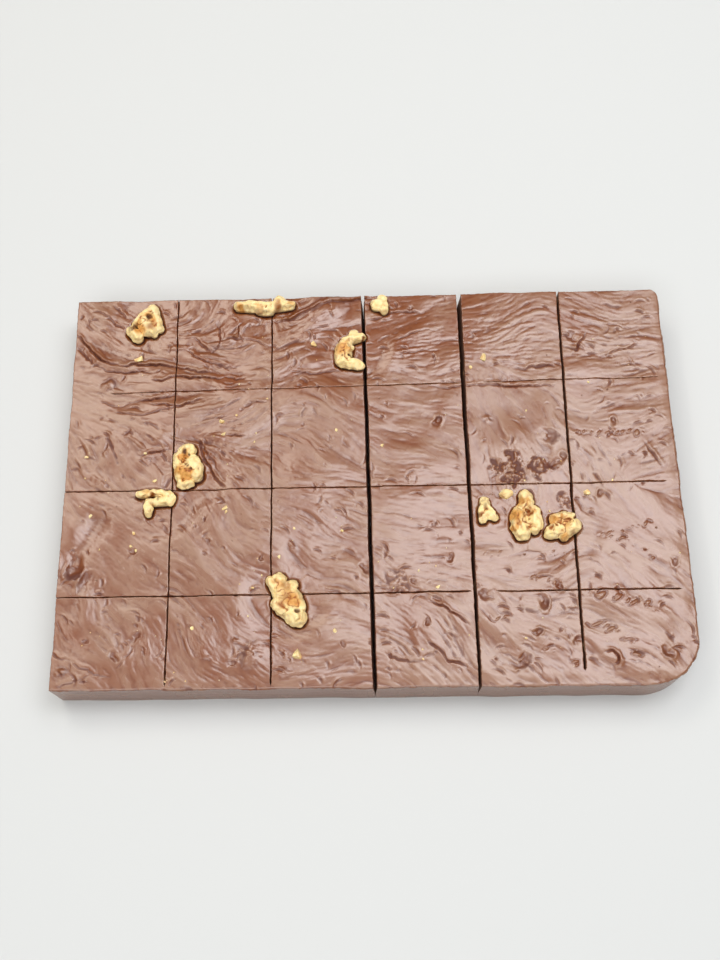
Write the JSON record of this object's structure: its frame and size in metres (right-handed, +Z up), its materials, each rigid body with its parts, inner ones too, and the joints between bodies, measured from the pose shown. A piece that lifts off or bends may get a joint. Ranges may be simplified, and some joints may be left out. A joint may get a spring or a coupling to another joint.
{
  "type": "fudge slab",
  "caption": "Slab of chocolate walnut fudge cut into squares, with walnut pieces pressed into its rippled top; lies flat to be served.",
  "frame": {"origin": "middle of the slab's footprint, on its flat underside", "axes": "+X to the right along the six columns of squares, +Y to the back across the four rows, +Z up out of the rippled top"},
  "size_m": [0.223, 0.1488, 0.0238],
  "materials": {
    "fudge": "smooth satin skin on top, crumbly at the cuts",
    "walnut": "matte kernel with thin tan skin"
  },
  "bodies": {
    "root": {"square_1_1": "fudge", "square_1_2": "fudge", "square_1_3": "fudge", "square_1_4": "fudge", "square_1_5": "fudge", "square_1_6": "fudge", "square_2_1": "fudge", "square_2_2": "fudge", "square_2_3": "fudge", "square_2_4": "fudge", "square_2_5": "fudge", "square_2_6": "fudge", "square_3_1": "fudge", "square_3_2": "fudge", "square_3_3": "fudge", "square_3_4": "fudge", "square_3_5": "fudge", "square_3_6": "fudge", "square_4_1": "fudge", "square_4_2": "fudge", "square_4_3": "fudge", "square_4_4": "fudge", "square_4_5": "fudge", "square_4_6": "fudge", "walnut_branch": "walnut", "walnut_chip": "walnut", "walnut_fan": "walnut", "walnut_half": "walnut", "walnut_hook": "walnut", "walnut_kite": "walnut", "walnut_lobed": "walnut", "walnut_pear": "walnut", "walnut_sliver": "walnut", "walnut_strip": "walnut"}
  },
  "joints": []
}
